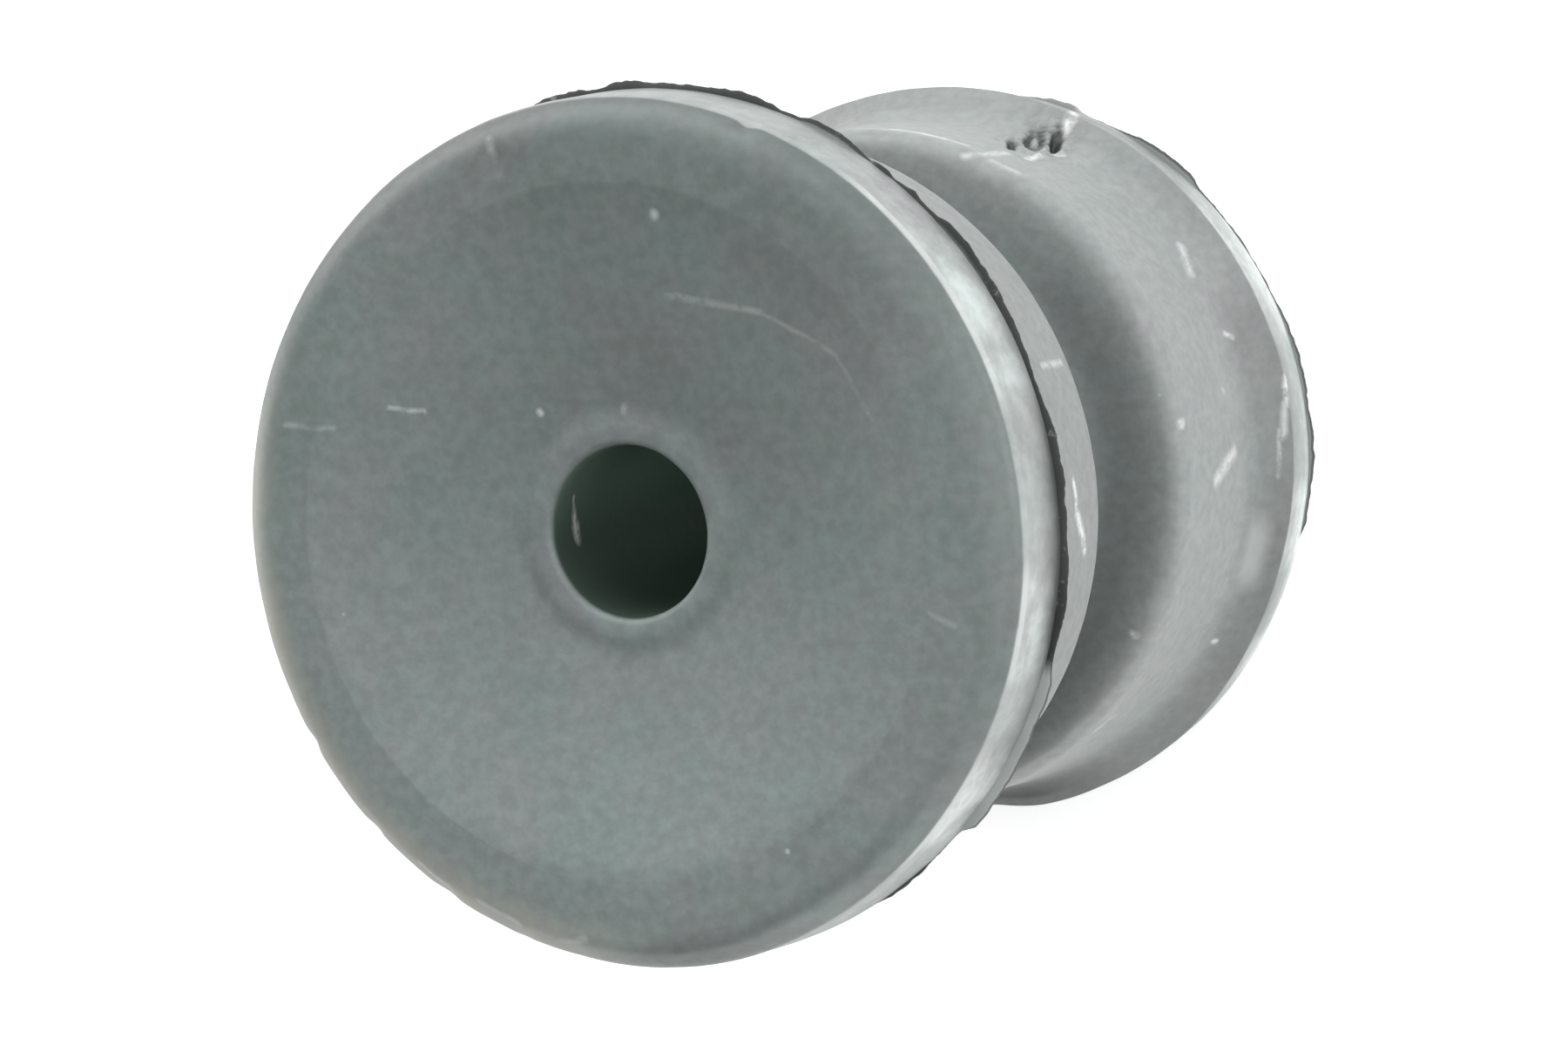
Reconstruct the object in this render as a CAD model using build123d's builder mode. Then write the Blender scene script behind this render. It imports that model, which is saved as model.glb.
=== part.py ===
"""Body mount bushing: one spool-shaped moulding of soft rubber.

It stands on one end with its axis along +Z and the origin in the middle of the ring that it
stands on. Both ends are alike, apart from where the mould left its flash. A bolt passes down
the bore, and the edge of a bracket or frame hole sits in the waist groove. Everything is in
millimetres.
"""

import os

from build123d import *

# Overall
overall_length = 68.4  # from one seating ring to the other
rim_diameter = 62.0  # flange, at the edge of its end face

# End faces: a flat seating ring, falling away to the rim and dished in the middle
shoulder_width = 1.8  # from the rim's edge in to the ring
seat_width = 4.15
seat_inner_edge_radius = 1.5  # softens the ring's edge towards the dish
seat_outer_edge_radius = 2.4  # and its edge towards the rim
face_fall = 1.7  # from the ring down to the rim's edge
dish_depth = 3.6  # from the ring down to the foot of the lip

# Bore for the bolt, with a low lip round each mouth
bore_diameter = 12.5
bore_edge_radius = 0.5
lip_width = 1.5
lip_flank_width = 0.6  # of the slope from the lip's top down to the dish
lip_height = 0.35
lip_edge_radius = 0.4
lip_foot_radius = 0.5

# Flange rim, from its face edge to its back corner
rim_edge_radius = 2.0
rim_height = 5.8
rim_draft = 0.45  # growth of the rim's radius over its height

# Hub between the rim and the groove, and the flare that joins it to the rim
flare_length = 6.0
flare_width = 2.85  # from the rim's back corner in to the hub
hub_taper = 0.6  # fall of the hub's radius from the flare to the groove's edge

# Waist groove
groove_width = 18.2  # at the hub's surface
groove_floor_width = 15.4  # before the floor's corners are rounded
groove_edge_radius = 2.0
neck_diameter = 36.0
neck_fillet_radius = 5.0

# Flash: the thin fin pressed out where two parts of the mould met. The upper one runs round
# the back corner of its rim, and the lower one round the face edge of the other rim.
flash_thickness = 0.4
upper_flash_reach = 0.95  # beyond the back corner
lower_flash_reach = 0.4  # beyond the face edge
flash_root = 1.0  # how far each fin's ring is let into its flange
lower_flash_height = 2.1  # middle of the lower fin above the lower seating ring

# Heights above the middle of the bushing, and radii, worked out from the sizes above
half_length = overall_length / 2
rim_edge_height = half_length - face_fall
rim_back_height = rim_edge_height - rim_height
flare_foot_height = rim_back_height - flare_length
dish_floor_height = half_length - dish_depth
lip_top_height = dish_floor_height + lip_height

rim_radius = rim_diameter / 2
rim_back_radius = rim_radius + rim_draft
seat_outer_radius = rim_radius - shoulder_width
seat_inner_radius = seat_outer_radius - seat_width
hub_radius = rim_back_radius - flare_width
hub_end_radius = hub_radius - hub_taper
bore_radius = bore_diameter / 2
lip_radius = bore_radius + lip_width
lip_foot_reach = lip_radius + lip_flank_width

# Each fin: the height of its middle above the lower seating ring, the radius of the edge that
# it grows from, and how far it reaches beyond
flashes = [
    (half_length + rim_back_height, rim_back_radius, upper_flash_reach),
    (lower_flash_height, rim_radius, lower_flash_reach),
]

# The upper half of the section is drawn from the neck outwards and over the rim to the axis,
# mirrored about the middle, and turned about the axis.
middle_plane = Plane(origin=(0, 0, half_length), x_dir=(1, 0, 0), z_dir=(0, -1, 0))

with BuildPart() as bushing:
    with BuildSketch(middle_plane):
        with BuildLine():
            waist = FilletPolyline(
                (neck_diameter / 2, 0),
                (neck_diameter / 2, groove_floor_width / 2),
                (hub_end_radius, groove_width / 2),
                (hub_radius, flare_foot_height),
                radius=[neck_fillet_radius, groove_edge_radius],
            )
            flare = TangentArc(
                waist @ 1,
                (rim_back_radius, rim_back_height),
                tangent=waist % 1,
            )
            end_face = FilletPolyline(
                flare @ 1,
                (rim_radius, rim_edge_height),
                (seat_outer_radius, half_length),
                (seat_inner_radius, half_length),
                (lip_foot_reach, dish_floor_height),
                (lip_radius, lip_top_height),
                (0, lip_top_height),
                radius=[
                    rim_edge_radius,
                    seat_outer_edge_radius,
                    seat_inner_edge_radius,
                    lip_foot_radius,
                    lip_edge_radius,
                ],
            )
            axis_line = Line(end_face @ 1, (0, 0))
            middle_line = Line((0, 0), waist @ 0)
        upper_half = make_face()
        mirror(about=Plane.XZ)
    revolve(axis=Axis.Z)

    for flash_height, edge_radius, flash_reach in flashes:
        with BuildSketch(Plane.XY.offset(flash_height - flash_thickness / 2)):
            Circle(edge_radius + flash_reach)
            Circle(edge_radius - flash_root, mode=Mode.SUBTRACT)
        extrude(amount=flash_thickness)

    Hole(radius=bore_radius)
    bore_wall = bushing.faces().filter_by(GeomType.CYLINDER).sort_by(SortBy.RADIUS)[0]
    fillet(bore_wall.edges().filter_by(GeomType.CIRCLE), radius=bore_edge_radius)

bushing.part.label = "bushing"

os.makedirs("parts", exist_ok=True)
export_step(bushing.part, "parts/bushing.step")
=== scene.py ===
"""Looks of a body mount bushing: one spool of moulded grey rubber, standing on its end."""

import math

import bpy
import numpy as np
from mathutils import Matrix, Vector, noise as clouds_of


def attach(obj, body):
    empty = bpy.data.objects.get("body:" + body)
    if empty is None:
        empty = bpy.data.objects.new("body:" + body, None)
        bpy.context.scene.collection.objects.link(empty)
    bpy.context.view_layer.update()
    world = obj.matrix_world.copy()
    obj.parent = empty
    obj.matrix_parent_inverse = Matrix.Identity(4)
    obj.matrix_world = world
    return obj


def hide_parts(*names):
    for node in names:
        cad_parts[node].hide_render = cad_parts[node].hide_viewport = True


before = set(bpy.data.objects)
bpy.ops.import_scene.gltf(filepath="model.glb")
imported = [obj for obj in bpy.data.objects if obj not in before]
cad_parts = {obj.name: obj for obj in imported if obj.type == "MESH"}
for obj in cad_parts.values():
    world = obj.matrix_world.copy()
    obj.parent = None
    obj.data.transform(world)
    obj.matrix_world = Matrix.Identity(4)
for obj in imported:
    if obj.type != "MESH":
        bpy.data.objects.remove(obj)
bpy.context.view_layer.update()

# ---------------------------------------------------------------------------------------------
# Moulded body
# One solid spool of grey rubber: two flanges with dished end faces, a waist groove and a bolt
# bore. It is compression moulded, so its section is turned round the axis, its surface is a
# little uneven, and handling has left nicks, pale edges and scuffs.

MM = 0.001
half_length = 34.2
face_step = 1.0  # spacing of the section's points on the straights
bore_step = 3.0
path_radius = 20.0
segments = 448
hub_radius = 28.6
bore_radius = 6.25
bore_mouth = 29.5  # where its straight wall starts, above the middle

# The flare runs from the hub to the rim's back corner as an arc that leaves along the hub.
flare_foot = (hub_radius, 20.7)
hub_slope = (0.6, 11.6)
rim_back = (31.45, 26.7)


def unit(v):
    return v / np.linalg.norm(v)


def arc_from(start, along, end, count):
    """Points on the arc that leaves start in the direction along and ends at end."""
    start, end, along = np.array(start), np.array(end), unit(np.array(along))
    normal = np.array([along[1], -along[0]])
    chord = end - start
    radius = chord @ chord / (2 * (chord @ normal))
    centre = start + normal * radius
    first = math.atan2(*(start - centre)[::-1])
    last = math.atan2(*(end - centre)[::-1])
    sweep = (last - first + math.pi) % (2 * math.pi) - math.pi
    angles = first + sweep * np.linspace(0, 1, count)
    return [centre + abs(radius) * np.array([math.cos(a), math.sin(a)]) for a in angles]


def rounded(corners, step):
    """The polyline through corners (radius, height, rounding), with dense points."""
    points = [np.array(corners[0][:2])]
    for before, corner, after in zip(corners, corners[1:], corners[2:]):
        p = np.array(corner[:2])
        a, b = unit(np.array(before[:2]) - p), unit(np.array(after[:2]) - p)
        if not corner[2]:
            points.append(p)
            continue
        half = math.acos(np.clip(a @ b, -1, 1)) / 2
        centre = p + unit(a + b) * corner[2] / math.sin(half)
        u = p + a * corner[2] / math.tan(half) - centre
        v = p + b * corner[2] / math.tan(half) - centre
        sweep = math.acos(np.clip(unit(u) @ unit(v), -1, 1))
        count = max(3, int(sweep * corner[2] / (0.6 * step)) + 1)
        for part in np.linspace(0, sweep, count + 1):
            points.append(centre + (math.sin(sweep - part) * u + math.sin(part) * v) / math.sin(sweep))
    points.append(np.array(corners[-1][:2]))
    dense = [points[0]]
    for p, q in zip(points, points[1:]):
        gap = np.linalg.norm(q - p)
        if gap < 0.02:
            continue
        count = math.ceil(gap / step)
        dense += [p + (q - p) * k / count for k in range(1, count + 1)]
    return dense


# The upper half of the section from the groove's floor, over the rim, to the bore
outside = [(18.0, 0.0, 0), (18.0, 7.7, 5.0), (28.0, 9.1, 2.0)]
outside += [(p[0], p[1], 0) for p in arc_from(flare_foot, hub_slope, rim_back, 9)[:-1]]
outside += [
    (31.45, 26.7, 0.2),
    (31.0, 32.5, 2.0),
    (29.2, 34.2, 2.4),
    (25.05, 34.2, 1.5),
    (8.9, 30.72, 3.0),
    (7.6, 30.95, 3.0),
    (bore_radius, 30.95, 0.5),
    (bore_radius, bore_mouth, 0),
]
upper = rounded(outside, face_step)
bore_heights = np.arange(bore_mouth - bore_step, -28.5, -bore_step)
bore_wall = [np.array([bore_radius, h]) for h in bore_heights]
lower = [p * [1, -1] for p in upper][::-1]
section = (upper + bore_wall + lower[:-1])[::-1]

upper_skin = np.array(upper)
skin_heights = upper_skin[:, 1] + half_length


def node(tree, kind, inputs=(), **settings):
    """Adds a node. Each input is a value or the socket that feeds it."""
    made = tree.nodes.new(kind)
    for name, value in settings.items():
        setattr(made, name, value)
    for key, value in inputs:
        if isinstance(value, bpy.types.NodeSocket):
            tree.links.new(value, made.inputs[key])
        else:
            made.inputs[key].default_value = value
    return made


def calc(tree, operation, *values):
    """A math node's result."""
    return node(tree, "ShaderNodeMath", enumerate(values), operation=operation).outputs[0]


def remap(tree, value, low, high, to_low=0.0, to_high=1.0):
    """value moved smoothly from the range low-high to to_low-to_high, and held at its ends."""
    inputs = [("Value", value), ("From Min", low), ("From Max", high)]
    inputs += [("To Min", to_low), ("To Max", to_high)]
    return node(tree, "ShaderNodeMapRange", inputs, interpolation_type="SMOOTHSTEP").outputs[0]


def blend_colour(tree, share, first, second, mode="MIX"):
    """first and second colours mixed by share."""
    mix = node(tree, "ShaderNodeMix", data_type="RGBA", blend_type=mode)
    for key, value in ((0, share), (6, first), (7, second)):
        if isinstance(value, bpy.types.NodeSocket):
            tree.links.new(value, mix.inputs[key])
        else:
            mix.inputs[key].default_value = value
    return mix.outputs[2]


def start_tree(name, inputs):
    """A new geometry node group with these named inputs."""
    tree = bpy.data.node_groups.new(name, "GeometryNodeTree")
    for label, kind in inputs:
        tree.interface.new_socket(label, in_out="INPUT", socket_type="NodeSocket" + kind)
    tree.interface.new_socket("Moulding", in_out="OUTPUT", socket_type="NodeSocketGeometry")
    return tree, tree.nodes.new("NodeGroupInput").outputs


def turned(tree, given):
    """The section in the input mesh, turned round the axis."""
    curve = node(tree, "GeometryNodeMeshToCurve", [("Mesh", given["Section"])])
    circle = node(tree, "GeometryNodeCurvePrimitiveCircle",
                  [("Resolution", given["Segments"]), ("Radius", given["Path Radius"])])
    path = node(tree, "GeometryNodeSetCurveNormal", [("Curve", circle.outputs["Curve"])], mode="Z_UP")
    swept = node(tree, "GeometryNodeCurveToMesh",
                 [("Curve", path.outputs["Curve"]), ("Profile Curve", curve.outputs["Curve"])])
    return swept.outputs["Mesh"]


def finish_tree(tree, given, geometry):
    """Lifts the shape to its height, shades it smooth and gives it its material."""
    lift = node(tree, "ShaderNodeCombineXYZ", [("Z", given["Middle Height"])]).outputs[0]
    placed = node(tree, "GeometryNodeTransform", [("Geometry", geometry), ("Translation", lift)])
    smooth = node(tree, "GeometryNodeSetShadeSmooth", [("Geometry", placed.outputs[0])])
    real = node(tree, "GeometryNodeRealizeInstances", [("Geometry", smooth.outputs[0])])
    coat = node(tree, "GeometryNodeSetMaterial",
                [("Geometry", real.outputs[0]), ("Material", given["Material"])])
    node(tree, "NodeGroupOutput", [("Moulding", coat.outputs[0])])


def make_piece(name, outline, tree, values):
    """A plain mesh piece made by the node group from a closed outline (radius, height)."""
    mesh = bpy.data.meshes.new(name)
    points = [((r - values["Path Radius"] / MM) * MM, -h * MM, 0.0) for r, h in outline]
    count = len(points)
    mesh.from_pydata(points, [(k, (k + 1) % count) for k in range(count)], [])
    piece = bpy.data.objects.new(name, mesh)
    bpy.context.collection.objects.link(piece)
    modifier = piece.modifiers.new("turned", "NODES")
    modifier.node_group = tree
    for item in tree.interface.items_tree:
        if item.in_out == "INPUT" and item.name in values:
            modifier[item.identifier] = values[item.name]
    graph = bpy.context.evaluated_depsgraph_get()
    plain = bpy.data.meshes.new_from_object(piece.evaluated_get(graph), depsgraph=graph)
    piece.modifiers.clear()
    piece.data = plain
    plain.name = name
    bpy.data.meshes.remove(mesh)
    bpy.data.node_groups.remove(tree)
    return piece


def skin_point(angle, radius=None, height=None):
    """The point on the upper end face at a radius, or on the outside at a height, in metres."""
    if height is None:
        face = upper_skin[:, 1] > 30.5
        order = np.argsort(upper_skin[face, 0])
        height = np.interp(radius, upper_skin[face, 0][order], skin_heights[face][order])
    else:
        above_middle = abs(height - half_length)
        wall = upper_skin[:, 0] > 17.9
        wall &= upper_skin[:, 1] < 33.0
        radius = np.interp(above_middle, upper_skin[wall, 1], upper_skin[wall, 0])
    a = math.radians(angle)
    return np.array([radius * math.cos(a), radius * math.sin(a), height]) * MM


# The rubber: mid grey with a green-blue cast, satin, with a fine grain
rubber = bpy.data.materials.new("grey_rubber")
rubber.use_nodes = True
tree = rubber.node_tree
skin = tree.nodes["Principled BSDF"]
spot = node(tree, "ShaderNodeTexCoord").outputs["Object"]
xyz = node(tree, "ShaderNodeSeparateXYZ", [(0, spot)]).outputs
flat_spot = node(tree, "ShaderNodeCombineXYZ", [(0, xyz[0]), (1, xyz[1])]).outputs[0]
radius = node(tree, "ShaderNodeVectorMath", [(0, flat_spot)], operation="LENGTH").outputs["Value"]
height = xyz[2]


def noise(tree, where, scale, detail=2.0, output="Fac", rough=0.5):
    inputs = [("Vector", where), ("Scale", scale), ("Detail", detail), ("Roughness", rough)]
    return node(tree, "ShaderNodeTexNoise", inputs).outputs[output]


# Broad clouds of a slightly greener and a slightly redder grey, and a fine grain
cool_grey = (0.234, 0.290, 0.276, 1)
warm_grey = (0.254, 0.280, 0.276, 1)
clouds = remap(tree, noise(tree, spot, 120.0, 5.0, rough=0.65), 0.35, 0.65)
colour = blend_colour(tree, clouds, cool_grey, warm_grey)
depth = noise(tree, spot, 55.0, 3.0)
grain = noise(tree, spot, 1100.0, 2.0)
mottle = noise(tree, spot, 650.0, 4.0, rough=0.7)
shade = calc(tree, "MULTIPLY", remap(tree, depth, 0.3, 0.7, 0.96, 1.04),
             remap(tree, grain, 0.3, 0.7, 0.93, 1.07))
shade = calc(tree, "MULTIPLY", shade, remap(tree, mottle, 0.3, 0.7, 0.95, 1.05))
grey = node(tree, "ShaderNodeCombineColor", [(0, shade), (1, shade), (2, shade)]).outputs[0]
colour = blend_colour(tree, 1.0, colour, grey, "MULTIPLY")

# The rims are paler, partly with bloom and dust and partly as painted sheen and highlight, the
# lower one most. The groove is painted darker, as painted shade, and so are the flares behind the rims.
angle = calc(tree, "DEGREES", calc(tree, "ARCTAN2", xyz[1], xyz[0]))
from_middle = calc(tree, "ABSOLUTE", calc(tree, "SUBTRACT", height, half_length * MM))


def between(tree, value, first, last, soft):
    """1 where value lies between first and last, fading to 0 over soft outside them."""
    rise = remap(tree, value, first - soft, first)
    return calc(tree, "MULTIPLY", rise, remap(tree, value, last, last + soft, 1.0, 0.0))


outer = remap(tree, radius, 0.0262, 0.0276)
above = remap(tree, height, 0.03, 0.04)
rim = calc(tree, "MULTIPLY", outer, between(tree, from_middle, 0.0268, 0.0322, 0.0002))
# Painted highlight on both rims at 8 to 24, -30 to -21 and -56 to -46 degrees, mixed with pale bloom
chalk_and_highlight = calc(tree, "MAXIMUM", between(tree, angle, 8, 24, 8), between(tree, angle, -30, -21, 4))
chalk_and_highlight = calc(tree, "MAXIMUM", chalk_and_highlight, between(tree, angle, -56, -46, 4))
streaks = noise(tree, spot, 210.0, 4.0, rough=0.6)
chalk_and_highlight = calc(tree, "MULTIPLY", chalk_and_highlight, remap(tree, streaks, 0.35, 0.6, 0.4, 1.0))
# Lower rim: dust and painted sheen, more at -30 to 26 degrees, less at 40 to 80, and a painted highlight
# near its end at -40 to 16
dust_and_sheen = calc(tree, "MULTIPLY", between(tree, angle, -30, 26, 12), 0.24)
dust_and_sheen = calc(tree, "ADD", dust_and_sheen, 0.22)
dust_and_sheen = calc(tree, "MULTIPLY_ADD", between(tree, angle, 40, 80, 12), -0.38, dust_and_sheen)
outermost = calc(tree, "MULTIPLY", between(tree, height, 0.0018, 0.0032, 0.0006),
                 between(tree, angle, -40, 16, 10))
dust_and_sheen = calc(tree, "MULTIPLY_ADD", outermost, 0.35, dust_and_sheen)
rim_gain = calc(tree, "MULTIPLY", above, 0.18)
rim_gain = calc(tree, "MULTIPLY_ADD", calc(tree, "SUBTRACT", 1.0, above), dust_and_sheen, rim_gain)
rim_gain = calc(tree, "MULTIPLY_ADD", chalk_and_highlight, 0.75, rim_gain)
rim_gain = calc(tree, "ADD", rim_gain, remap(tree, streaks, 0.3, 0.7, -0.14, 0.14))
# Painted shade deep in the groove, less of it on its upper side at 35 to 85 degrees
groove = calc(tree, "MULTIPLY", remap(tree, radius, 0.0274, 0.0235),
              remap(tree, from_middle, 0.0110, 0.0095))
groove = calc(tree, "MULTIPLY", groove, remap(tree, radius, 0.0172, 0.0175))
top_of_groove = between(tree, angle, 35, 85, 15)
groove = calc(tree, "MULTIPLY", groove, calc(tree, "MULTIPLY_ADD", top_of_groove, -0.4, 1.0))
# Painted shade on the flares behind the rims. On the lower flare least at 20 to 110 degrees and most at
# -110 to -80; on the upper flare most at -28 to -8 degrees and just under its fin
flare = calc(tree, "MULTIPLY", outer, between(tree, from_middle, 0.0248, 0.0266, 0.0040))
lower_flare_shade = calc(tree, "MULTIPLY_ADD", between(tree, angle, 20, 110, 14), -0.32, 0.36)
lower_flare_shade = calc(tree, "MULTIPLY_ADD", between(tree, angle, -110, -80, 8), 0.22, lower_flare_shade)
upper_flare_shade = calc(tree, "MULTIPLY_ADD", between(tree, angle, -28, -8, 7), 0.36, 0.15)
under_fin = calc(tree, "MULTIPLY", between(tree, angle, -35, 24, 12), remap(tree, height, 0.0572, 0.0590))
upper_flare_shade = calc(tree, "MULTIPLY_ADD", under_fin, 0.2, upper_flare_shade)
flare_shade = calc(tree, "MULTIPLY", upper_flare_shade, above)
flare_shade = calc(tree, "MULTIPLY_ADD", lower_flare_shade, calc(tree, "SUBTRACT", 1.0, above), flare_shade)
tone = calc(tree, "MULTIPLY", calc(tree, "MULTIPLY_ADD", rim, rim_gain, 1.0),
            calc(tree, "MULTIPLY_ADD", groove, -0.36, 1.0))
tone = calc(tree, "MULTIPLY", tone,
            calc(tree, "SUBTRACT", 1.0, calc(tree, "MULTIPLY", flare, flare_shade)))

# Up to the face's very edge its outer slope is painted darker, as painted shade; on the side away
# from the parting seam it is paler instead, and at -115 to -75 degrees a little less dark.
edge = calc(tree, "MULTIPLY", remap(tree, radius, 0.0281, 0.0298),
            remap(tree, from_middle, 0.0323, 0.0325))
away = calc(tree, "ABSOLUTE", calc(tree, "ADD", angle, -20.0))
away = calc(tree, "MINIMUM", away, calc(tree, "SUBTRACT", 360.0, away))
far_from_seam = remap(tree, away, 112, 150)
lower_side = calc(tree, "MULTIPLY", between(tree, angle, -115, -75, 12), 0.10)
edge_tone = calc(tree, "MULTIPLY_ADD", far_from_seam, 0.78, calc(tree, "ADD", lower_side, 0.66))
edge_tone = calc(tree, "MULTIPLY_ADD", remap(tree, radius, 0.0299, 0.0307), -0.10, edge_tone)
edge_tone = calc(tree, "MULTIPLY_ADD", edge, calc(tree, "SUBTRACT", edge_tone, 1.0), 1.0)
tone = calc(tree, "MULTIPLY", tone, edge_tone)
# Painted shade on the end faces' upper part, at 38 to 88 degrees
top_face_shade = calc(tree, "MULTIPLY", remap(tree, radius, 0.020, 0.026), between(tree, angle, 38, 88, 25))
top_face_shade = calc(tree, "MULTIPLY", top_face_shade, remap(tree, from_middle, 0.0323, 0.0325))
tone = calc(tree, "MULTIPLY", tone, calc(tree, "MULTIPLY_ADD", top_face_shade, -0.10, 1.0))
# The end faces are painted lighter towards -Y and darker towards +Y, as painted light and shade, and the
# ring round the bore a little lighter, as a painted highlight
end_face = remap(tree, from_middle, 0.0302, 0.0306)
across = remap(tree, xyz[1], -0.028, 0.028, 0.085, -0.06)
bore_lip_highlight = calc(tree, "MULTIPLY", between(tree, radius, 0.0066, 0.0078, 0.0003), 0.05)
across = calc(tree, "ADD", across, bore_lip_highlight)
tone = calc(tree, "MULTIPLY", tone, calc(tree, "MULTIPLY_ADD", end_face, across, 1.0))
# The lower hub is painted a little lighter, as painted light, and the upper hub beside its rim a little
# darker, as painted shade
hub = calc(tree, "MULTIPLY", between(tree, from_middle, 0.0105, 0.0240, 0.0015),
           calc(tree, "SUBTRACT", 1.0, above))
tone = calc(tree, "MULTIPLY", tone, calc(tree, "MULTIPLY_ADD", hub, 0.08, 1.0))
upper_hub_shade = calc(tree, "MULTIPLY", between(tree, from_middle, 0.0105, 0.0262, 0.0015), above)
upper_hub_shade = calc(tree, "MULTIPLY", upper_hub_shade, remap(tree, radius, 0.0276, 0.0280))
tone = calc(tree, "MULTIPLY", tone, calc(tree, "MULTIPLY_ADD", upper_hub_shade, -0.12, 1.0))
# One patch behind the lower rim is painted darker, as painted shade, and less shiny than the rest
wedge = calc(tree, "MULTIPLY", between(tree, angle, -106, -90, 12),
             between(tree, height, 0.0088, 0.0118, 0.0008))
tone = calc(tree, "MULTIPLY", tone, calc(tree, "MULTIPLY_ADD", wedge, -0.3, 1.0))
grey = node(tree, "ShaderNodeCombineColor", [(0, tone), (1, tone), (2, tone)]).outputs[0]
colour = blend_colour(tree, 1.0, colour, grey, "MULTIPLY")

# Outside, the bloom makes the grey more neutral
bloom = calc(tree, "MULTIPLY", remap(tree, radius, 0.0180, 0.0280),
             remap(tree, from_middle, 0.0326, 0.0322))
plain = node(tree, "ShaderNodeRGBToBW", [(0, colour)]).outputs[0]
plain = node(tree, "ShaderNodeCombineColor", [(0, plain), (1, plain), (2, plain)]).outputs[0]
colour = blend_colour(tree, calc(tree, "MULTIPLY", bloom, 0.5), colour, plain)

# The bore's wall is dark greasy rubber near its mouths; deep inside and towards +Y it is painted much
# paler, and paler towards +X than -X, as painted light
in_bore = calc(tree, "MULTIPLY", remap(tree, radius, 0.0066, 0.0064),
               remap(tree, from_middle, 0.0308, 0.0302))
depth_in = remap(tree, from_middle, 0.006, 0.026, 1.0, 0.0)
bore_grease_and_light = blend_colour(tree, depth_in, (0.085, 0.125, 0.100, 1), (0.32, 0.48, 0.39, 1))
bore_side_light = remap(tree, xyz[1], 0.0, 0.006, 1.0, 2.7)
bore_side_light = calc(tree, "MULTIPLY", bore_side_light, remap(tree, xyz[0], -0.006, 0.006, 0.74, 1.3))
bore_side_light = node(tree, "ShaderNodeCombineColor", [(0, bore_side_light), (1, bore_side_light), (2, bore_side_light)]).outputs[0]
bore_grease_and_light = blend_colour(tree, 1.0, bore_grease_and_light, bore_side_light, "MULTIPLY")
colour = blend_colour(tree, in_bore, colour, bore_grease_and_light)

# Pale worn rubber along the edge of each end face; on the upper edge it is a painted highlight at 8
# to 34, -30 to -20 and -58 to -46 degrees
pale = (0.55, 0.57, 0.56, 1)
patchy = remap(tree, noise(tree, spot, 260.0, 4.0, rough=0.7), 0.40, 0.66)
wear_and_highlight = calc(tree, "MAXIMUM", between(tree, angle, 8, 34, 7), between(tree, angle, -58, -46, 6))
wear_and_highlight = calc(tree, "MAXIMUM", wear_and_highlight, between(tree, angle, -30, -20, 5))
wear_and_highlight = calc(tree, "MULTIPLY_ADD", wear_and_highlight, 0.75, 0.15)
line = calc(tree, "MULTIPLY", outer, between(tree, from_middle, 0.0318, 0.0322, 0.0002))
line = calc(tree, "MULTIPLY", line, calc(tree, "MULTIPLY_ADD", patchy, 0.45, 0.55))
line = calc(tree, "MULTIPLY", calc(tree, "MULTIPLY", line, wear_and_highlight), above)
colour = blend_colour(tree, line, colour, pale)
band = calc(tree, "MULTIPLY", calc(tree, "MULTIPLY", far_from_seam, remap(tree, radius, 0.0272, 0.0300)),
            remap(tree, from_middle, 0.0300, 0.0310))
band = calc(tree, "MULTIPLY", band, calc(tree, "MULTIPLY_ADD", patchy, 0.35, 0.60))
colour = blend_colour(tree, band, colour, (0.47, 0.46, 0.40, 1))

# Stray pale specks of dust and mould release
cells = node(tree, "ShaderNodeTexVoronoi", [("Vector", spot), ("Scale", 260.0)])
pick = node(tree, "ShaderNodeSeparateColor", [(0, cells.outputs["Color"])]).outputs[0]
speck = calc(tree, "MULTIPLY", remap(tree, cells.outputs["Distance"], 0.03, 0.07, 1.0, 0.0),
             remap(tree, pick, 0.955, 0.96))
colour = blend_colour(tree, calc(tree, "MULTIPLY", speck, 0.8), colour, pale)

# Dirt and painted shade on the rim just above its flash
smear = noise(tree, spot, 500.0, 3.0)
low = calc(tree, "MULTIPLY_ADD", smear, 0.0012, height)
grime_and_shade = remap(tree, low, 0.0612, 0.0633, 1.0, 0.0)
grime_and_shade = calc(tree, "MULTIPLY", grime_and_shade, remap(tree, height, 0.0606, 0.0609))
share = calc(tree, "MULTIPLY_ADD", between(tree, angle, -28, -4, 8), 0.6, 0.2)
grime_and_shade = calc(tree, "MULTIPLY", calc(tree, "MULTIPLY", grime_and_shade, rim), share)
colour = blend_colour(tree, grime_and_shade, colour, (0.03, 0.038, 0.035, 1))

# Scuffs, scratches, specks and painted glints: a group that is 1 within a stroke from one point to
# another
stroke = bpy.data.node_groups.new("stroke", "ShaderNodeTree")
for label, kind in (("Spot", "Vector"), ("From", "Vector"), ("To", "Vector"), ("Width", "Float"),
                    ("Strength", "Float")):
    stroke.interface.new_socket(label, in_out="INPUT", socket_type="NodeSocket" + kind)
stroke.interface.new_socket("Mark", in_out="OUTPUT", socket_type="NodeSocketFloat")
given = stroke.nodes.new("NodeGroupInput").outputs


def vector(tree, operation, *values):
    return node(tree, "ShaderNodeVectorMath", enumerate(values), operation=operation).outputs


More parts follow.
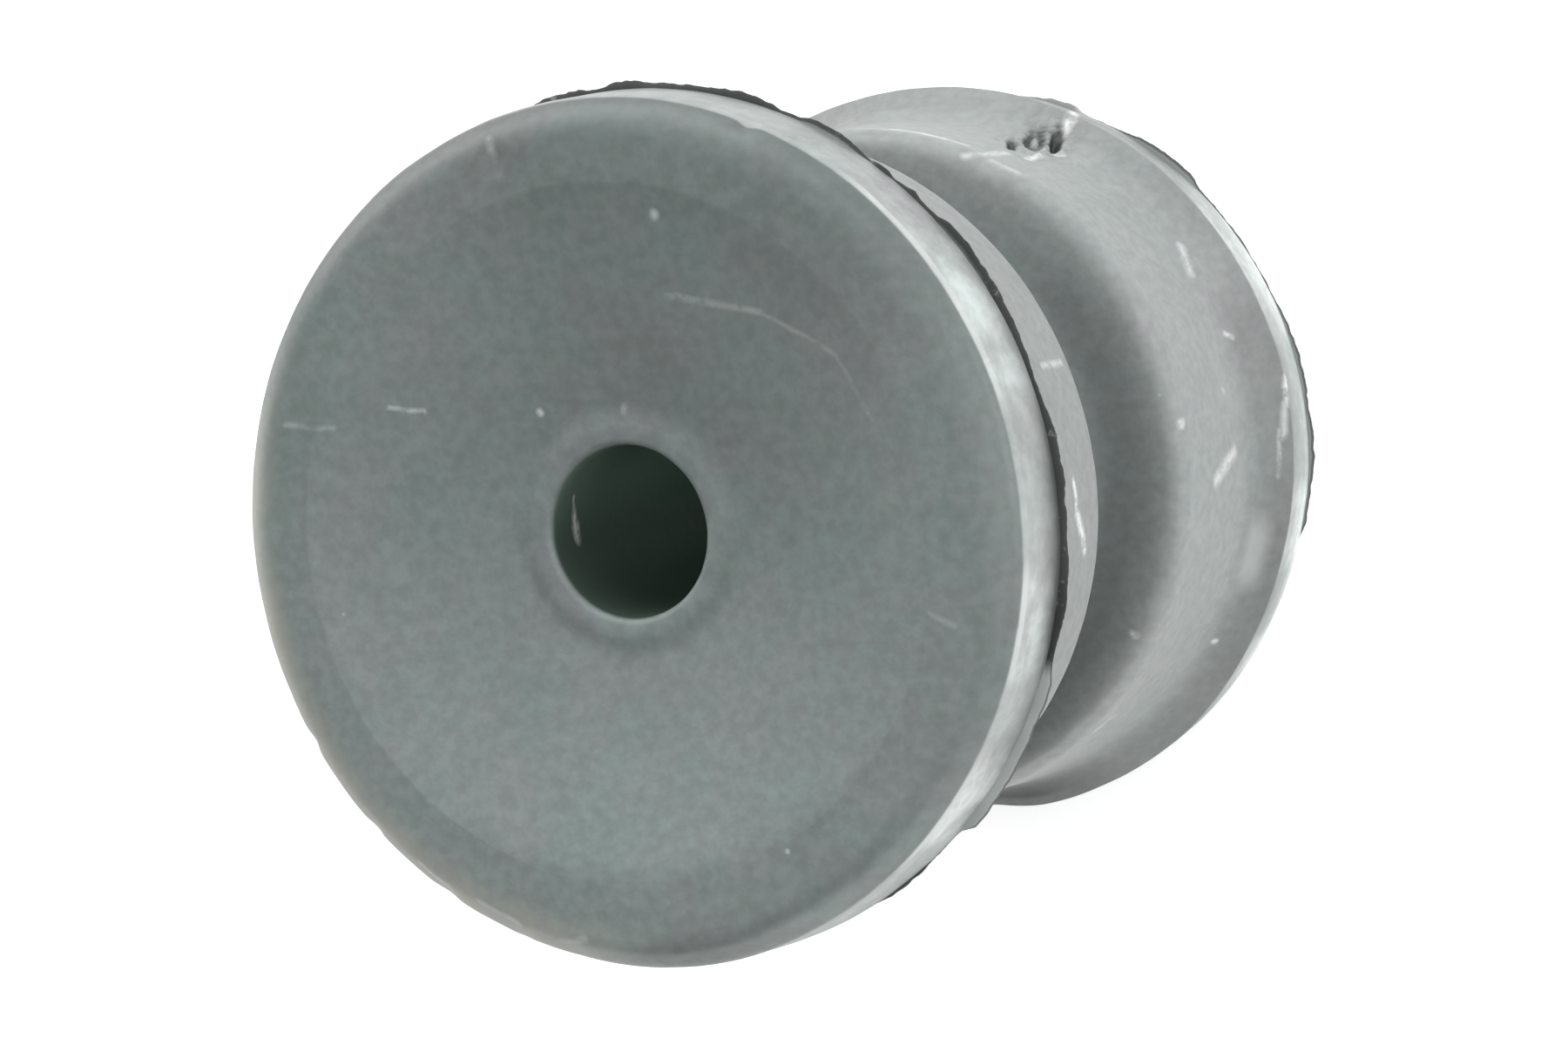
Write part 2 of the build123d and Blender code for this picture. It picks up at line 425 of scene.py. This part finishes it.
along = vector(stroke, "SUBTRACT", given["To"], given["From"])[0]
out = vector(stroke, "SUBTRACT", given["Spot"], given["From"])[0]
part = calc(stroke, "DIVIDE", vector(stroke, "DOT_PRODUCT", out, along)["Value"],
            vector(stroke, "DOT_PRODUCT", along, along)["Value"])
part = node(stroke, "ShaderNodeClamp", [(0, part)]).outputs[0]
nearest = node(stroke, "ShaderNodeVectorMath", [("Vector", along), ("Scale", part)],
               operation="SCALE").outputs[0]
gap = vector(stroke, "DISTANCE", out, nearest)["Value"]
inside = calc(stroke, "SUBTRACT", 1.0, calc(stroke, "DIVIDE", gap, given["Width"]))
inside = node(stroke, "ShaderNodeClamp", [(0, inside)]).outputs[0]
node(stroke, "NodeGroupOutput", [("Mark", calc(stroke, "MULTIPLY", inside, given["Strength"]))])

# On the end face: angle, radius. On the outside: angle, height. Then width and strength.
face_marks = [
    ((60, 17.6), (38, 19.9), 0.22, 0.32),
    ((38, 19.9), (29, 20.9), 0.18, 0.24),
    ((29, 20.9), (21, 22.1), 0.18, 0.20),
    ((21, 22.1), (8, 22.3), 0.18, 0.14),
    ((139, 20.2), (136, 17.7), 0.18, 0.6),
    ((149, 27.5), (147, 23.7), 0.20, 0.3),
    ((113, 10.9), (113, 10.7), 0.22, 0.9),
    ((64, 23.2), (64, 23.0), 0.28, 0.7),
    ((75, 8.9), (75, 8.7), 0.26, 0.6),
    ((92, 29.4), (92, 27.9), 0.30, 0.3),
    ((-110, 29.2), (-114, 29.8), 0.25, 0.6),
    ((-121, 29.6), (-128, 29.4), 0.22, 0.7),
    ((-134, 30.0), (-139, 29.7), 0.25, 0.6),
    ((-104, 29.8), (-107, 29.9), 0.22, 0.5),
    ((-26, 27.0), (-25, 25.0), 0.20, 0.25),
]
outside_marks = [
    ((8, 45.9), (8, 50.3), 0.25, 0.6),
    ((-9.5, 49.8), (-14, 49.6), 0.32, 1.0),
    ((-14, 49.6), (-20, 47.5), 0.40, 1.0),
    ((-16, 18.4), (-12, 14.2), 0.50, 0.7),
    ((22.8, 10.9), (18.3, 11.8), 0.42, 0.55),
    ((-2, 7.3), (-6.5, 7.7), 0.24, 0.7),
    ((-6, 7.8), (-10.8, 8.1), 0.30, 0.55),
    ((-10, 8.4), (-17, 8.6), 0.20, 0.35),
    ((-3.5, 7.4), (-2.5, 7.2), 0.35, 1.0),
    ((-5.5, 24.3), (-5.5, 24.1), 0.32, 1.0),
    ((7, 11.5), (6, 10.7), 0.20, 0.7),
    ((-45, 10.5), (-45, 10.3), 0.25, 0.8),
    ((-42, 25.3), (-42, 25.2), 0.25, 0.7),
    ((-2, 14.9), (-2, 14.7), 0.25, 0.5),
    ((51.2, 9.4), (51.5, 7.8), 0.42, 1.0),
    ((51.5, 7.8), (53.4, 4.5), 0.42, 1.0),
    # Painted glints below the torn scar
    ((48.6, 18.3), (48.7, 15.6), 0.30, 0.8),
    ((48.5, 12.7), (47.8, 12.0), 0.32, 0.8),
    # A painted highlight along the lower hub's groove shoulder
    ((76, 22.4), (70, 22.6), 0.30, 0.35),
    ((70, 22.6), (60, 22.6), 0.38, 0.8),
    ((60, 22.6), (56, 22.5), 0.30, 0.5),
    ((54.2, 24.6), (52.2, 23.4), 0.35, 0.55),
    ((52.2, 23.4), (51.4, 19.4), 0.35, 0.6),
    ((50.0, 23.9), (45.6, 23.7), 0.40, 0.35),
    ((-59, 21.0), (-62, 22.0), 0.25, 0.5),
]
# A glint on the bore's wall, painted as a pale highlight: angle, height
bore_glints = [
    ((145, 62.2), (158, 61.7), 0.16, 1.0),
    ((158, 61.7), (167, 61.4), 0.28, 1.0),
    ((167, 61.4), (174, 61.3), 0.42, 1.0),
]


def bore_point(angle, height):
    a = math.radians(angle)
    return np.array([bore_radius * math.cos(a), bore_radius * math.sin(a), height]) * MM


wobble = node(tree, "ShaderNodeTexNoise", [("Vector", spot), ("Scale", 800.0)]).outputs["Color"]
wobble = vector(tree, "SUBTRACT", wobble, (0.5, 0.5, 0.5))[0]
wobble = node(tree, "ShaderNodeVectorMath", [("Vector", wobble), ("Scale", 0.0004)],
              operation="SCALE").outputs[0]
shaken = vector(tree, "ADD", spot, wobble)[0]
strokes = [(skin_point(a, radius=r), skin_point(b, radius=q), w, k)
           for (a, r), (b, q), w, k in face_marks]
strokes += [(skin_point(a, height=h), skin_point(b, height=g), w, k)
            for (a, h), (b, g), w, k in outside_marks]
strokes += [(bore_point(a, h), bore_point(b, g), w, k) for (a, h), (b, g), w, k in bore_glints]
mark_spread = 1.7
# A soft painted highlight on the lower flare, at -32 to -27 degrees
painted_highlight_patch = calc(tree, "MULTIPLY", between(tree, angle, -32, -27, 6),
                  between(tree, height, 0.0097, 0.0101, 0.0016))
colour = blend_colour(tree, calc(tree, "MULTIPLY", painted_highlight_patch, 0.4), colour, pale)
marks = 0.0
for start, end, width, strength in strokes:
    one = node(tree, "ShaderNodeGroup", node_tree=stroke)
    tree.links.new(shaken, one.inputs["Spot"])
    one.inputs["From"].default_value = start
    one.inputs["To"].default_value = end + 1e-6
    one.inputs["Width"].default_value = width * mark_spread * MM
    one.inputs["Strength"].default_value = strength
    marks = calc(tree, "MAXIMUM", marks, one.outputs[0])
broken = remap(tree, noise(tree, spot, 900.0, 3.0, rough=0.7), 0.35, 0.55, 0.3, 1.0)
colour = blend_colour(tree, calc(tree, "MULTIPLY", marks, broken), colour, (0.75, 0.78, 0.77, 1))

# Torn spots of a piece are marked on its mesh: the scar's hollows get painted shade, its raised lips a
# painted highlight
scar_shade = node(tree, "ShaderNodeAttribute", attribute_name="torn").outputs["Fac"]
colour = blend_colour(tree, scar_shade, colour, (0.02, 0.026, 0.024, 1))
bright = node(tree, "ShaderNodeAttribute", attribute_name="pale").outputs["Fac"]
colour = blend_colour(tree, bright, colour, (0.75, 0.78, 0.77, 1))

tree.links.new(colour, skin.inputs["Base Color"])
skin.inputs["Roughness"].default_value = 0.45
shine = calc(tree, "MULTIPLY_ADD", wedge, -0.35, 0.5)
tree.links.new(shine, skin.inputs["Specular IOR Level"])
skin.inputs["IOR"].default_value = 1.5
bump = node(tree, "ShaderNodeBump", [("Strength", 0.25), ("Distance", 0.00012), ("Height", grain)])
tree.links.new(bump.outputs[0], skin.inputs["Normal"])

body_tree, given = start_tree("turned_body", [
    ("Section", "Geometry"), ("Segments", "Int"), ("Path Radius", "Float"),
    ("Middle Height", "Float"), ("Broad Unevenness", "Float"), ("Fine Unevenness", "Float"),
    ("Seed", "Float"), ("Material", "Material")])
shape = turned(body_tree, given)
place = node(body_tree, "GeometryNodeInputPosition").outputs[0]
normal = node(body_tree, "GeometryNodeInputNormal").outputs[0]
dips = []
for label, scale in (("Broad Unevenness", 90.0), ("Fine Unevenness", 420.0)):
    wave = node(body_tree, "ShaderNodeTexNoise",
                [("Vector", place), ("W", given["Seed"]), ("Scale", scale), ("Detail", 2.0)],
                noise_dimensions="4D").outputs["Fac"]
    wave = calc(body_tree, "SUBTRACT", wave, 0.5)
    dips.append(calc(body_tree, "MULTIPLY", wave, given[label]))
inwards = calc(body_tree, "MULTIPLY", calc(body_tree, "ADD", *dips), -1.0)
offset = node(body_tree, "ShaderNodeVectorMath", [("Vector", normal), ("Scale", inwards)],
              operation="SCALE").outputs[0]
moved = node(body_tree, "GeometryNodeSetPosition", [("Geometry", shape), ("Offset", offset)])
finish_tree(body_tree, given, moved.outputs[0])
body = make_piece("bushing_body", section, body_tree, {
    "Segments": segments,
    "Path Radius": path_radius * MM,
    "Middle Height": half_length * MM,
    "Broad Unevenness": 0.22 * MM,
    "Fine Unevenness": 0.07 * MM,
    "Seed": 3.0,
    "Material": rubber,
})

# Nicks: angle, radius or height of the spot, its size and its depth in millimetres
points = np.empty(len(body.data.vertices) * 3)
body.data.vertices.foreach_get("co", points)
points = points.reshape(-1, 3)
face_nicks = [
    (92, 27.8, 0.8, 0.25),
    (-112, 30.5, 0.6, 0.15),
    (-121, 30.7, 0.5, 0.15),
    (-134, 30.6, 0.8, 0.20),
    (-148, 30.7, 0.6, 0.15),
    (-163, 30.7, 0.7, 0.15),
    (54, 30.8, 0.7, 0.20),
]
outside_nicks = [(-99, 7.5, 4.0, 0.8), (-94, 64.0, 13.0, -0.35), (-62, 4.5, 8.0, -0.33)]
nicks = [(skin_point(a, radius=r), size, deep) for a, r, size, deep in face_nicks]
nicks += [(skin_point(a, height=h), size, deep) for a, h, size, deep in outside_nicks]
for where, size, deep in nicks:
    near = np.linalg.norm(points - where, axis=1) / (size * MM)
    dip = deep * MM * np.exp(-near**2)
    points[:, 2] -= dip * (where[2] > 60 * MM)
    points[:, :2] *= (1 - dip / (31 * MM))[:, None]

# The pocket that the torn scar sits in: angle and height of its middle, half sizes and depth
scar_angle, scar_height = 52.2, 12.9
scar_half_width, scar_half_length, pocket_depth = 1.9, 4.4, 1.7
around = np.degrees(np.arctan2(points[:, 1], points[:, 0])) - scar_angle
reach = (np.radians(around) * hub_radius / scar_half_width) ** 4
reach += ((points[:, 2] / MM - scar_height) / scar_half_length) ** 4
outer_wall = np.hypot(points[:, 0], points[:, 1]) > 27 * MM
dip = pocket_depth * MM * np.exp(-reach) * outer_wall
points[:, :2] *= (1 - dip / (hub_radius * MM))[:, None]
points[:, 2] = np.clip(points[:, 2], 0, 2 * half_length * MM)
body.data.vertices.foreach_set("co", points.ravel())
body.data.update()

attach(body, "root")
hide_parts("bushing")

# ---------------------------------------------------------------------------------------------
# Torn scar on the lower hub
# Where the mould's halves met along the hub, a lump of flash tore out of the rubber. It left
# three ragged hollows between thin lips, part of the same moulding; the hollows are painted dark as
# painted shade, the lips pale as painted highlight.

scar_rows, scar_columns = 110, 120
scar_angles = np.radians(scar_angle + np.linspace(-6.2, 6.2, scar_columns))
scar_heights = np.linspace(scar_height - 6.0, scar_height + 6.0, scar_rows)
# angle, height, half width, half length, height or depth: all but the angle in millimetres
lumps = [
    (50.6, 10.3, 0.55, 1.8, -1.3),
    (53.3, 11.8, 1.00, 2.1, -1.1),
    (53.1, 11.9, 0.50, 1.3, 1.15),
    (54.5, 15.0, 0.50, 2.0, -0.9),
    (53.4, 17.0, 0.30, 1.0, -0.3),
    (48.3, 11.6, 0.50, 0.6, 0.50),
    (48.4, 16.0, 0.60, 0.6, 0.50),
    (49.8, 13.6, 0.30, 0.6, 0.30),
]
slant = 1.96  # each hollow runs this much down the hub for each millimetre round it
spots = []
deeps = []
for h in scar_heights:
    base = np.linalg.norm(skin_point(0, height=h)[:2]) / MM
    for a in scar_angles:
        rise = 0.0
        for mark_angle, mark_height, wide, long, up_by in lumps:
            s = (math.degrees(a) - mark_angle) * math.radians(1) * base
            beside = (h - mark_height + slant * s) / math.hypot(1, slant) / 0.8
            along = (s - 0.45 * beside) * math.hypot(1, slant)
            rise += up_by * math.exp(-((beside / wide) ** 2) - (along / long) ** 2)
        where = Vector((a * base, h, 0.0))
        rough = clouds_of.fractal(where * 1.3, 0.8, 2.0, 4) * 0.22
        s = (math.degrees(a) - scar_angle) * math.radians(1) * base
        inside = math.exp(-((s / 2.3) ** 4) - ((h - scar_height) / 4.9) ** 4)
        deep = (rise + rough) * inside - 0.12 * (1 - inside)
        deeps.append(deep)
        r = base + deep
        spots.append((r * math.cos(a) * MM, r * math.sin(a) * MM, h * MM))
count = scar_rows * scar_columns
scar_thickness = 1.6
under = 1 - scar_thickness / hub_radius
spots += [(x * under, y * under, z) for x, y, z in spots[:count]]
faces = []
for k in range(scar_rows - 1):
    for j in range(scar_columns - 1):
        a = k * scar_columns + j
        faces.append((a, a + 1, a + 1 + scar_columns, a + scar_columns))
        faces.append((a + count, a + count + scar_columns, a + count + 1 + scar_columns, a + count + 1))
border = [j for j in range(scar_columns)]
border += [k * scar_columns + scar_columns - 1 for k in range(1, scar_rows)]
border += [(scar_rows - 1) * scar_columns + j for j in range(scar_columns - 2, -1, -1)]
border += [k * scar_columns for k in range(scar_rows - 2, 0, -1)]
for a, b in zip(border, border[1:] + border[:1]):
    faces.append((b, a, a + count, b + count))
mesh = bpy.data.meshes.new("torn_scar")
mesh.from_pydata(spots, [], faces)
deeps = np.array(deeps + [-1.0] * count)
# torn darkens the hollows as painted shade, pale lightens the raised lips as painted highlight
for label, low, high in (("torn", -0.10, -0.40), ("pale", 0.20, 0.40)):
    values = np.clip((deeps - low) / (high - low), 0, 1) * 0.95
    mesh.attributes.new(label, "FLOAT", "POINT").data.foreach_set("value", values)
mesh.polygons.foreach_set("use_smooth", [True] * len(mesh.polygons))
mesh.materials.append(rubber)
scar = bpy.data.objects.new("torn_scar", mesh)
bpy.context.collection.objects.link(scar)
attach(scar, "root")
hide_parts("bushing")

# ---------------------------------------------------------------------------------------------
# Torn flash on the two rims
# A thin fin of rubber was pressed out where the mould's parts met, and torn off by hand. What is left
# is a ragged fringe, part of the same moulding: round the back corner of the upper rim, and round the
# face edge of the lower one. The upper fringe is painted near black, partly dirt and partly painted
# shade, paler at 20 to 53 and -62 to -33 degrees.

fringe_rubber = bpy.data.materials.new("torn_rubber")
fringe_rubber.use_nodes = True
tree = fringe_rubber.node_tree
torn_skin = tree.nodes["Principled BSDF"]
spot = node(tree, "ShaderNodeTexCoord").outputs["Object"]
torn = node(tree, "ShaderNodeAttribute", attribute_name="torn").outputs["Fac"]
flecks = noise(tree, spot, 700.0, 3.0, rough=0.7)
root_grey = (0.07, 0.085, 0.08, 1)
edge_black = (0.022, 0.028, 0.026, 1)
xyz = node(tree, "ShaderNodeSeparateXYZ", [(0, spot)]).outputs
angle = calc(tree, "DEGREES", calc(tree, "ARCTAN2", xyz[1], xyz[0]))
lighter_fin = calc(tree, "MULTIPLY", between(tree, angle, 20, 42, 4), 0.6)
lighter_fin = calc(tree, "MAXIMUM", lighter_fin, between(tree, angle, 43, 53, 3))
lighter_fin = calc(tree, "MAXIMUM", lighter_fin, between(tree, angle, -62, -33, 3))
lighter_fin = calc(tree, "MULTIPLY", lighter_fin, remap(tree, xyz[2], 0.03, 0.04))
# Near black towards the torn edge: partly dirt, partly painted shade
dark = remap(tree, torn, calc(tree, "MULTIPLY_ADD", lighter_fin, 0.42, 0.15),
             calc(tree, "MULTIPLY_ADD", lighter_fin, 0.2, 0.6))
root_tone = blend_colour(tree, lighter_fin, root_grey, (0.2, 0.225, 0.22, 1))
colour = blend_colour(tree, dark, root_tone, edge_black)
colour = blend_colour(tree, remap(tree, flecks, 0.6, 0.75, 0.0, 0.5), colour, (0.3, 0.32, 0.31, 1))
# The lower fin is mostly whole and pale, with a thin dark tip
below = remap(tree, xyz[2], 0.04, 0.03)
whole = calc(tree, "MULTIPLY", between(tree, angle, 46, 72, 2), below)
colour = blend_colour(tree, whole, colour, (0.33, 0.35, 0.345, 1))
dusted = calc(tree, "MULTIPLY", between(tree, angle, -60, 46, 2), below)
tip_dark = remap(tree, torn, 0.74, 0.86, 0.0, 0.85)
fin_colour = blend_colour(tree, tip_dark, (0.30, 0.32, 0.315, 1), (0.075, 0.085, 0.08, 1))
colour = blend_colour(tree, dusted, colour, fin_colour)
# Painted highlight on the lower fin at 52 to 54.5 degrees, where the pale tick ends
catch = calc(tree, "MULTIPLY", between(tree, angle, 52.0, 54.5, 1), below)
colour = blend_colour(tree, calc(tree, "MULTIPLY", catch, 0.7), colour, (0.60, 0.62, 0.61, 1))
# Painted highlight on the upper fin's torn edge at -58 to -33 degrees
lit = calc(tree, "MULTIPLY", between(tree, angle, -58, -33, 3), calc(tree, "SUBTRACT", 1.0, below))
lit = calc(tree, "MULTIPLY", lit, remap(tree, torn, 0.96, 0.88, 0.2, 0.85))
colour = blend_colour(tree, lit, colour, (0.42, 0.45, 0.44, 1))
tree.links.new(colour, torn_skin.inputs["Base Color"])
torn_skin.inputs["Roughness"].default_value = 0.65
torn_skin.inputs["IOR"].default_value = 1.5


def fringe(name, middle_height, root, tip, half_thick, shares, droop, seed):
    """A fin whose reach varies round the rim. shares: angle in degrees, share of the full reach."""
    fin_tree, given = start_tree(name + "_turned", [
        ("Section", "Geometry"), ("Segments", "Int"), ("Path Radius", "Float"),
        ("Middle Height", "Float"), ("Root Radius", "Float"), ("Tip Radius", "Float"),
        ("Droop", "Float"), ("Tear Depth", "Float"), ("Seed", "Float"), ("Material", "Material")])
    shape = turned(fin_tree, given)
    place = node(fin_tree, "GeometryNodeInputPosition").outputs[0]
    xyz = node(fin_tree, "ShaderNodeSeparateXYZ", [(0, place)]).outputs
    across = node(fin_tree, "ShaderNodeCombineXYZ", [(0, xyz[0]), (1, xyz[1])]).outputs[0]
    radius = node(fin_tree, "ShaderNodeVectorMath", [(0, across)], operation="LENGTH").outputs["Value"]
    outward = node(fin_tree, "ShaderNodeVectorMath", [(0, across)], operation="NORMALIZE").outputs[0]
    angle = calc(fin_tree, "ARCTAN2", xyz[1], xyz[0])
    fraction = calc(fin_tree, "MULTIPLY_ADD", angle, 0.5 / math.pi, 0.5)
    profile = node(fin_tree, "ShaderNodeFloatCurve", [("Value", fraction)])
    curve = profile.mapping.curves[0]
    for degrees, share in shares[1:-1]:
        curve.points.new(degrees / 360 + 0.5, share)
    curve.points[0].location = (0.0, shares[0][1])
    curve.points[len(curve.points) - 1].location = (1.0, shares[-1][1])
    profile.mapping.update()
    share = profile.outputs[0]

    def ragged(scale, low, high, amount):
        value = node(fin_tree, "ShaderNodeTexNoise",
                     [("Vector", outward), ("W", given["Seed"]), ("Scale", scale), ("Detail", 3.0)],
                     noise_dimensions="4D").outputs["Fac"]
        return calc(fin_tree, "MULTIPLY", remap(fin_tree, value, low, high), amount)

    tears = calc(fin_tree, "ADD", ragged(9.0, 0.45, 0.7, 0.5), ragged(38.0, 0.3, 0.7, 0.5))
    loss = calc(fin_tree, "MULTIPLY", tears, given["Tear Depth"])
    share = calc(fin_tree, "MULTIPLY", share, calc(fin_tree, "SUBTRACT", 1.0, loss))
    share = node(fin_tree, "ShaderNodeClamp", [(0, share)]).outputs[0]
    run = calc(fin_tree, "SUBTRACT", radius, given["Root Radius"])
    full_run = calc(fin_tree, "SUBTRACT", given["Tip Radius"], given["Root Radius"])
    reach = calc(fin_tree, "DIVIDE", run, full_run)
    shorter = calc(fin_tree, "MULTIPLY", run, calc(fin_tree, "SUBTRACT", share, 1.0))
    curl = node(fin_tree, "ShaderNodeTexNoise",
                [("Vector", outward), ("W", given["Seed"]), ("Scale", 5.0)],
                noise_dimensions="4D").outputs["Fac"]
    bend = calc(fin_tree, "MULTIPLY", calc(fin_tree, "MULTIPLY", reach, reach), given["Droop"])
    down = calc(fin_tree, "MULTIPLY", bend, remap(fin_tree, curl, 0.3, 0.7, 0.2, -1.0))
    inward = node(fin_tree, "ShaderNodeVectorMath", [("Vector", outward), ("Scale", shorter)],
                  operation="SCALE").outputs[0]
    downward = node(fin_tree, "ShaderNodeCombineXYZ", [(2, down)]).outputs[0]
    offset = node(fin_tree, "ShaderNodeVectorMath", [(0, inward), (1, downward)]).outputs[0]
    marked = node(fin_tree, "GeometryNodeStoreNamedAttribute",
                  [("Geometry", shape), ("Name", "torn"), ("Value", reach)],
                  data_type="FLOAT", domain="POINT")
    moved = node(fin_tree, "GeometryNodeSetPosition",
                 [("Geometry", marked.outputs[0]), ("Offset", offset)])
    finish_tree(fin_tree, given, moved.outputs[0])
    taper = ((0.0, 1.0), (0.3, 1.0), (0.55, 0.9), (0.8, 0.6), (0.95, 0.3), (1.0, 0.0))
    outline = [(root + (tip - root) * along, -half_thick * thick) for along, thick in taper]
    outline += [(r, -h) for r, h in outline[-2::-1]]
    return make_piece(name, outline, fin_tree, {
        "Segments": 900,
        "Path Radius": 31.5 * MM,
        "Middle Height": middle_height * MM,
        "Root Radius": root * MM,
        "Tip Radius": tip * MM,
        "Droop": droop * MM,
        "Tear Depth": 0.22,
        "Seed": seed,
        "Material": fringe_rubber,
    })


upper_shares = [
    (-180, 0.26), (-110, 0.30), (-95, 0.32), (-80, 0.36), (-73, 0.45), (-68, 0.62), (-64, 0.55),
    (-59, 0.45), (-56, 0.6), (-53, 1.0), (-49, 1.0), (-44, 0.95), (-39, 1.0), (-34, 0.98),
    (-29, 0.74), (-24, 0.86), (-18, 0.77), (-13, 0.70), (-8, 0.77), (-2, 0.79), (3, 0.60),
    (9, 0.64), (15, 0.76), (21, 0.88), (28, 0.80), (32, 0.54), (34, 0.68), (36, 0.48),
    (39, 0.64), (41, 0.48), (44, 0.72), (50, 0.76), (53, 0.52), (56, 0.74), (62, 0.80),
    (67, 0.69), (74, 0.72), (78, 0.86), (82, 0.6), (85, 0.80), (90, 0.78), (96, 0.40),
    (103, 0.42), (112, 0.28), (180, 0.26),
]
lower_shares = [
    (-180, 0.25), (-110, 0.42), (-90, 0.25), (-80, 0.3), (-40, 0.25), (-34, 0.4), (-29, 0.42),
    (-25, 0.72), (-20, 0.74), (-16, 0.92), (-12, 0.92), (-8, 0.77), (-4, 0.85), (0, 0.86),
    (4, 0.78), (8, 0.70), (11, 0.54), (14, 0.56), (17, 0.51), (20, 0.58), (24, 0.56), (28, 0.56),
    (32, 0.76),
    (35, 1.0), (38, 0.97), (42, 0.92), (46, 0.66), (50, 0.55), (52.5, 0.55), (53.5, 0.66),
    (57, 0.86), (62, 0.64), (66, 0.5), (72, 0.35), (110, 0.25), (140, 0.42), (180, 0.25),
]
for name, at, root, tip, half_thick, droop, shares, seed in (
    ("upper_flash", 60.9, 30.9, 32.35, 0.2, 0.25, upper_shares, 1.0),
    ("lower_flash", 2.1, 30.4, 31.7, 0.08, 0.05, lower_shares, 6.0),
):
    fin = fringe(name, at, root, tip, half_thick, shares, droop, seed)
    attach(fin, "root")
    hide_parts("bushing")

# ---------------------------------------------------------------------------------------------
# Camera, floor and light
camera_data = bpy.data.cameras.new("camera")
camera_data.lens = 80
camera_data.sensor_width = 36
camera = bpy.data.objects.new("camera", camera_data)
bpy.context.collection.objects.link(camera)
right = np.array([0.8655, -0.2563, -0.4304])
up = np.array([0.2295, 0.9666, -0.1141])
back = np.array([0.4453, 0.0, 0.8954])
turn = Matrix([[right[k], up[k], back[k]] for k in range(3)]).to_4x4()
camera.matrix_world = Matrix.Translation((0.12059, -0.00218, 0.2829)) @ turn
bpy.context.scene.camera = camera

floor_mesh = bpy.data.meshes.new("floor")
floor_mesh.from_pydata([(-2, -2, 0), (2, -2, 0), (2, 2, 0), (-2, 2, 0)], [], [(0, 1, 2, 3)])
floor = bpy.data.objects.new("floor", floor_mesh)
bpy.context.collection.objects.link(floor)
paint = bpy.data.materials.new("pale_floor")
paint.use_nodes = True
tree = paint.node_tree
matt = tree.nodes["Principled BSDF"]
matt.inputs["Base Color"].default_value = (0.9, 0.9, 0.9, 1)
matt.inputs["Roughness"].default_value = 0.9
ray = node(tree, "ShaderNodeLightPath").outputs
seen = calc(tree, "MAXIMUM", ray["Is Camera Ray"], ray["Is Glossy Ray"])
seen = calc(tree, "MAXIMUM", seen, ray["Is Transmission Ray"])
matt.inputs["Emission Color"].default_value = (1, 1, 1, 1)
tree.links.new(calc(tree, "MULTIPLY", seen, 0.6), matt.inputs["Emission Strength"])
floor_mesh.materials.append(paint)

# Soft light from a dim ceiling, a key panel behind and above on one side, and low bright walls
world = bpy.data.worlds.new("studio")
bpy.context.scene.world = world
world.use_nodes = True
tree = world.node_tree
toward = node(tree, "ShaderNodeTexCoord").outputs["Generated"]
rise = node(tree, "ShaderNodeSeparateXYZ", [(0, toward)]).outputs[2]
brightness = None
for azimuth, elevation, spread, tall, strength in (
    (0, 65, 8, 0, 0.65),
    (0, 40, 8, 0, 1.6),
    (90, 15, 8, 0, 2.3),
    (135, 15, 8, 0, 1.7),
    (0, 3, 8, 100, 12.2),
    (90, 3, 8, 100, 5.4),
    (135, 3, 8, 100, 4.3),
    (270, 3, 8, 100, 10.0),
):
    a, e = math.radians(azimuth), math.radians(elevation)
    aim = (math.cos(e) * math.cos(a), math.cos(e) * math.sin(a), math.sin(e))
    facing = node(tree, "ShaderNodeVectorMath", [(0, toward), (1, aim)], operation="DOT_PRODUCT")
    fade = calc(tree, "MULTIPLY_ADD", facing.outputs["Value"], spread, -spread)
    above = calc(tree, "POWER", calc(tree, "SUBTRACT", rise, aim[2]), 2.0)
    fade = calc(tree, "MULTIPLY_ADD", above, -tall, fade)
    panel = calc(tree, "MULTIPLY", calc(tree, "EXPONENT", fade), strength)
    brightness = panel if brightness is None else calc(tree, "ADD", brightness, panel)
tree.links.new(brightness, tree.nodes["Background"].inputs["Strength"])
tree.nodes["Background"].inputs["Color"].default_value = (1, 1, 1, 1)

bpy.context.scene.view_settings.view_transform = "Standard"
